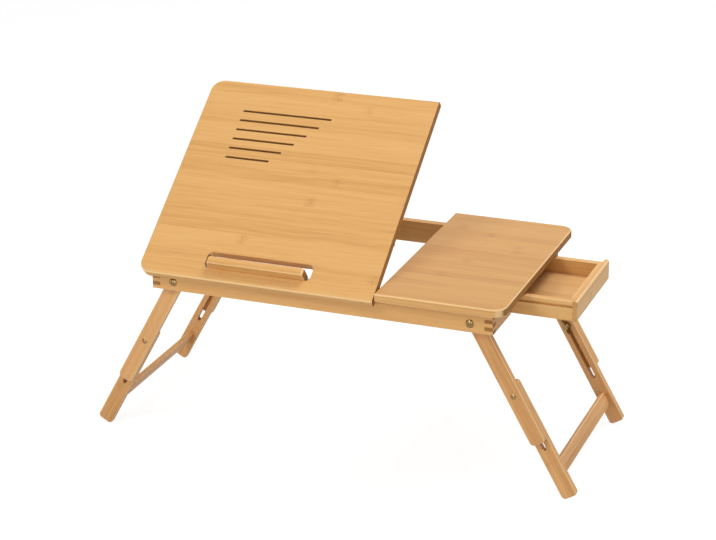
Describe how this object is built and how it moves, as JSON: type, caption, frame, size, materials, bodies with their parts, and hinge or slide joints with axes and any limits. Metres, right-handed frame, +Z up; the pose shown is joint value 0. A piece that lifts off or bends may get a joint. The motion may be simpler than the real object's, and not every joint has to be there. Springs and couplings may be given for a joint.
{
  "type": "laptop bed table",
  "caption": "Bamboo laptop bed table with a tilting vented top, a flip-up stop bar, a fixed side top, a side drawer and folding, height-adjustable legs.",
  "frame": {"origin": "on the floor, under the middle of the box that holds the open table", "axes": "+X to the drawer end, +Y to the back, away from the user, +Z up"},
  "size_m": [0.7492, 0.3528, 0.4843],
  "materials": {
    "bamboo_top": "satin lacquer",
    "bamboo_frame": "satin lacquer",
    "bamboo_leg": "satin lacquer",
    "bamboo_drawer": "satin lacquer",
    "bamboo_ply": "satin",
    "bronze": "antique plated",
    "steel": "zinc plated"
  },
  "bodies": {
    "frame": {"front_rail": "bamboo_frame", "back_rail": "bamboo_frame", "left_rail": "bamboo_frame", "right_rail_front": "bamboo_frame", "right_rail_back": "bamboo_frame", "divider": "bamboo_frame", "rack_left": "bamboo_frame", "rack_right": "bamboo_frame", "rack_screws": "steel", "fixed_panel": "bamboo_top", "panel_dowels": "bamboo_frame", "drawer_guide_front": "bamboo_frame", "drawer_guide_back": "bamboo_frame", "guide_screws": "steel", "hinge_frame_leaves": "steel", "hinge_frame_screws": "steel", "hinge_pins": "steel", "leg_pivot_bolts": "bronze", "leg_pivot_washers": "bronze", "leg_pivot_nuts": "bronze"},
    "tilting_top": {"tilt_panel": "bamboo_top", "hinge_panel_leaves": "steel", "hinge_panel_screws": "steel", "stop_bar_pins": "steel", "prop_cleat_left": "bamboo_frame", "prop_cleat_right": "bamboo_frame", "prop_pivot_pins": "steel"},
    "stop_bar": {"stop_bar": "bamboo_top"},
    "prop": {"prop_arm_left": "bamboo_frame", "prop_arm_right": "bamboo_frame", "prop_rod": "steel"},
    "drawer": {"drawer_front": "bamboo_drawer", "drawer_inner_front": "bamboo_drawer", "drawer_side_front": "bamboo_drawer", "drawer_side_back": "bamboo_drawer", "drawer_back": "bamboo_drawer", "drawer_bottom": "bamboo_ply", "drawer_screws": "steel"},
    "left_leg_upper": {"left_front_upper_leg": "bamboo_leg", "left_back_upper_leg": "bamboo_leg", "left_adjuster_bolts": "bronze", "left_adjuster_washers": "bronze"},
    "left_leg_lower": {"left_front_lower_leg": "bamboo_leg", "left_back_lower_leg": "bamboo_leg", "left_crossbar": "bamboo_leg"},
    "left_front_wing_nut": {"left_front_wing_nut": "bronze"},
    "left_back_wing_nut": {"left_back_wing_nut": "bronze"},
    "right_leg_upper": {"right_front_upper_leg": "bamboo_leg", "right_back_upper_leg": "bamboo_leg", "right_adjuster_bolts": "bronze", "right_adjuster_washers": "bronze"},
    "right_leg_lower": {"right_front_lower_leg": "bamboo_leg", "right_back_lower_leg": "bamboo_leg", "right_crossbar": "bamboo_leg"},
    "right_front_wing_nut": {"right_front_wing_nut": "bronze"},
    "right_back_wing_nut": {"right_back_wing_nut": "bronze"}
  },
  "joints": [
    {"name": "top_tilt", "type": "hinge", "parent": "frame", "child": "tilting_top", "pos_m": [-0.258, -0.15755, 0.27711], "axis": [1, 0, 0], "range_deg": [-36.5, 0]},
    {"name": "prop_swing", "type": "hinge", "parent": "tilting_top", "child": "prop", "pos_m": [-0.258, -0.02918, 0.36421], "axis": [1, 0, 0], "range_deg": [0, 139.51]},
    {"name": "stop_bar_flip", "type": "hinge", "parent": "tilting_top", "child": "stop_bar", "pos_m": [-0.166, -0.15317, 0.288], "axis": [1, 0, 0], "range_deg": [-90, 0]},
    {"name": "drawer_slide", "type": "slide", "parent": "frame", "child": "drawer", "axis": [1, 0, 0], "range_m": [-0.095, 0.035]},
    {"name": "left_leg_fold", "type": "hinge", "parent": "frame", "child": "left_leg_upper", "pos_m": [-0.225, 0.00145, 0.25696], "axis": [0, 1, 0], "range_deg": [-119.17, 0]},
    {"name": "left_leg_height", "type": "slide", "parent": "left_leg_upper", "child": "left_leg_lower", "axis": [-0.4874, 0, -0.8732], "range_m": [-0.088, 0]},
    {"name": "left_front_wing_nut_turn", "type": "hinge", "parent": "left_leg_upper", "child": "left_front_wing_nut", "pos_m": [-0.28447, -0.12065, 0.15044], "axis": [0, 1, 0], "range_deg": [0, 360]},
    {"name": "left_back_wing_nut_turn", "type": "hinge", "parent": "left_leg_upper", "child": "left_back_wing_nut", "pos_m": [-0.28447, 0.12355, 0.15044], "axis": [0, -1, 0], "range_deg": [0, 360]},
    {"name": "right_leg_fold", "type": "hinge", "parent": "frame", "child": "right_leg_upper", "pos_m": [0.225, 0.00145, 0.25696], "axis": [0, -1, 0], "range_deg": [-119.17, 0]},
    {"name": "right_leg_height", "type": "slide", "parent": "right_leg_upper", "child": "right_leg_lower", "axis": [0.4874, 0, -0.8732], "range_m": [-0.088, 0]},
    {"name": "right_front_wing_nut_turn", "type": "hinge", "parent": "right_leg_upper", "child": "right_front_wing_nut", "pos_m": [0.28447, -0.12065, 0.15044], "axis": [0, 1, 0], "range_deg": [0, 360]},
    {"name": "right_back_wing_nut_turn", "type": "hinge", "parent": "right_leg_upper", "child": "right_back_wing_nut", "pos_m": [0.28447, 0.12355, 0.15044], "axis": [0, -1, 0], "range_deg": [0, 360]}
  ],
  "couplings": [
    {"joint": "prop_swing", "follows": "top_tilt", "ratio": -3.8219}
  ]
}
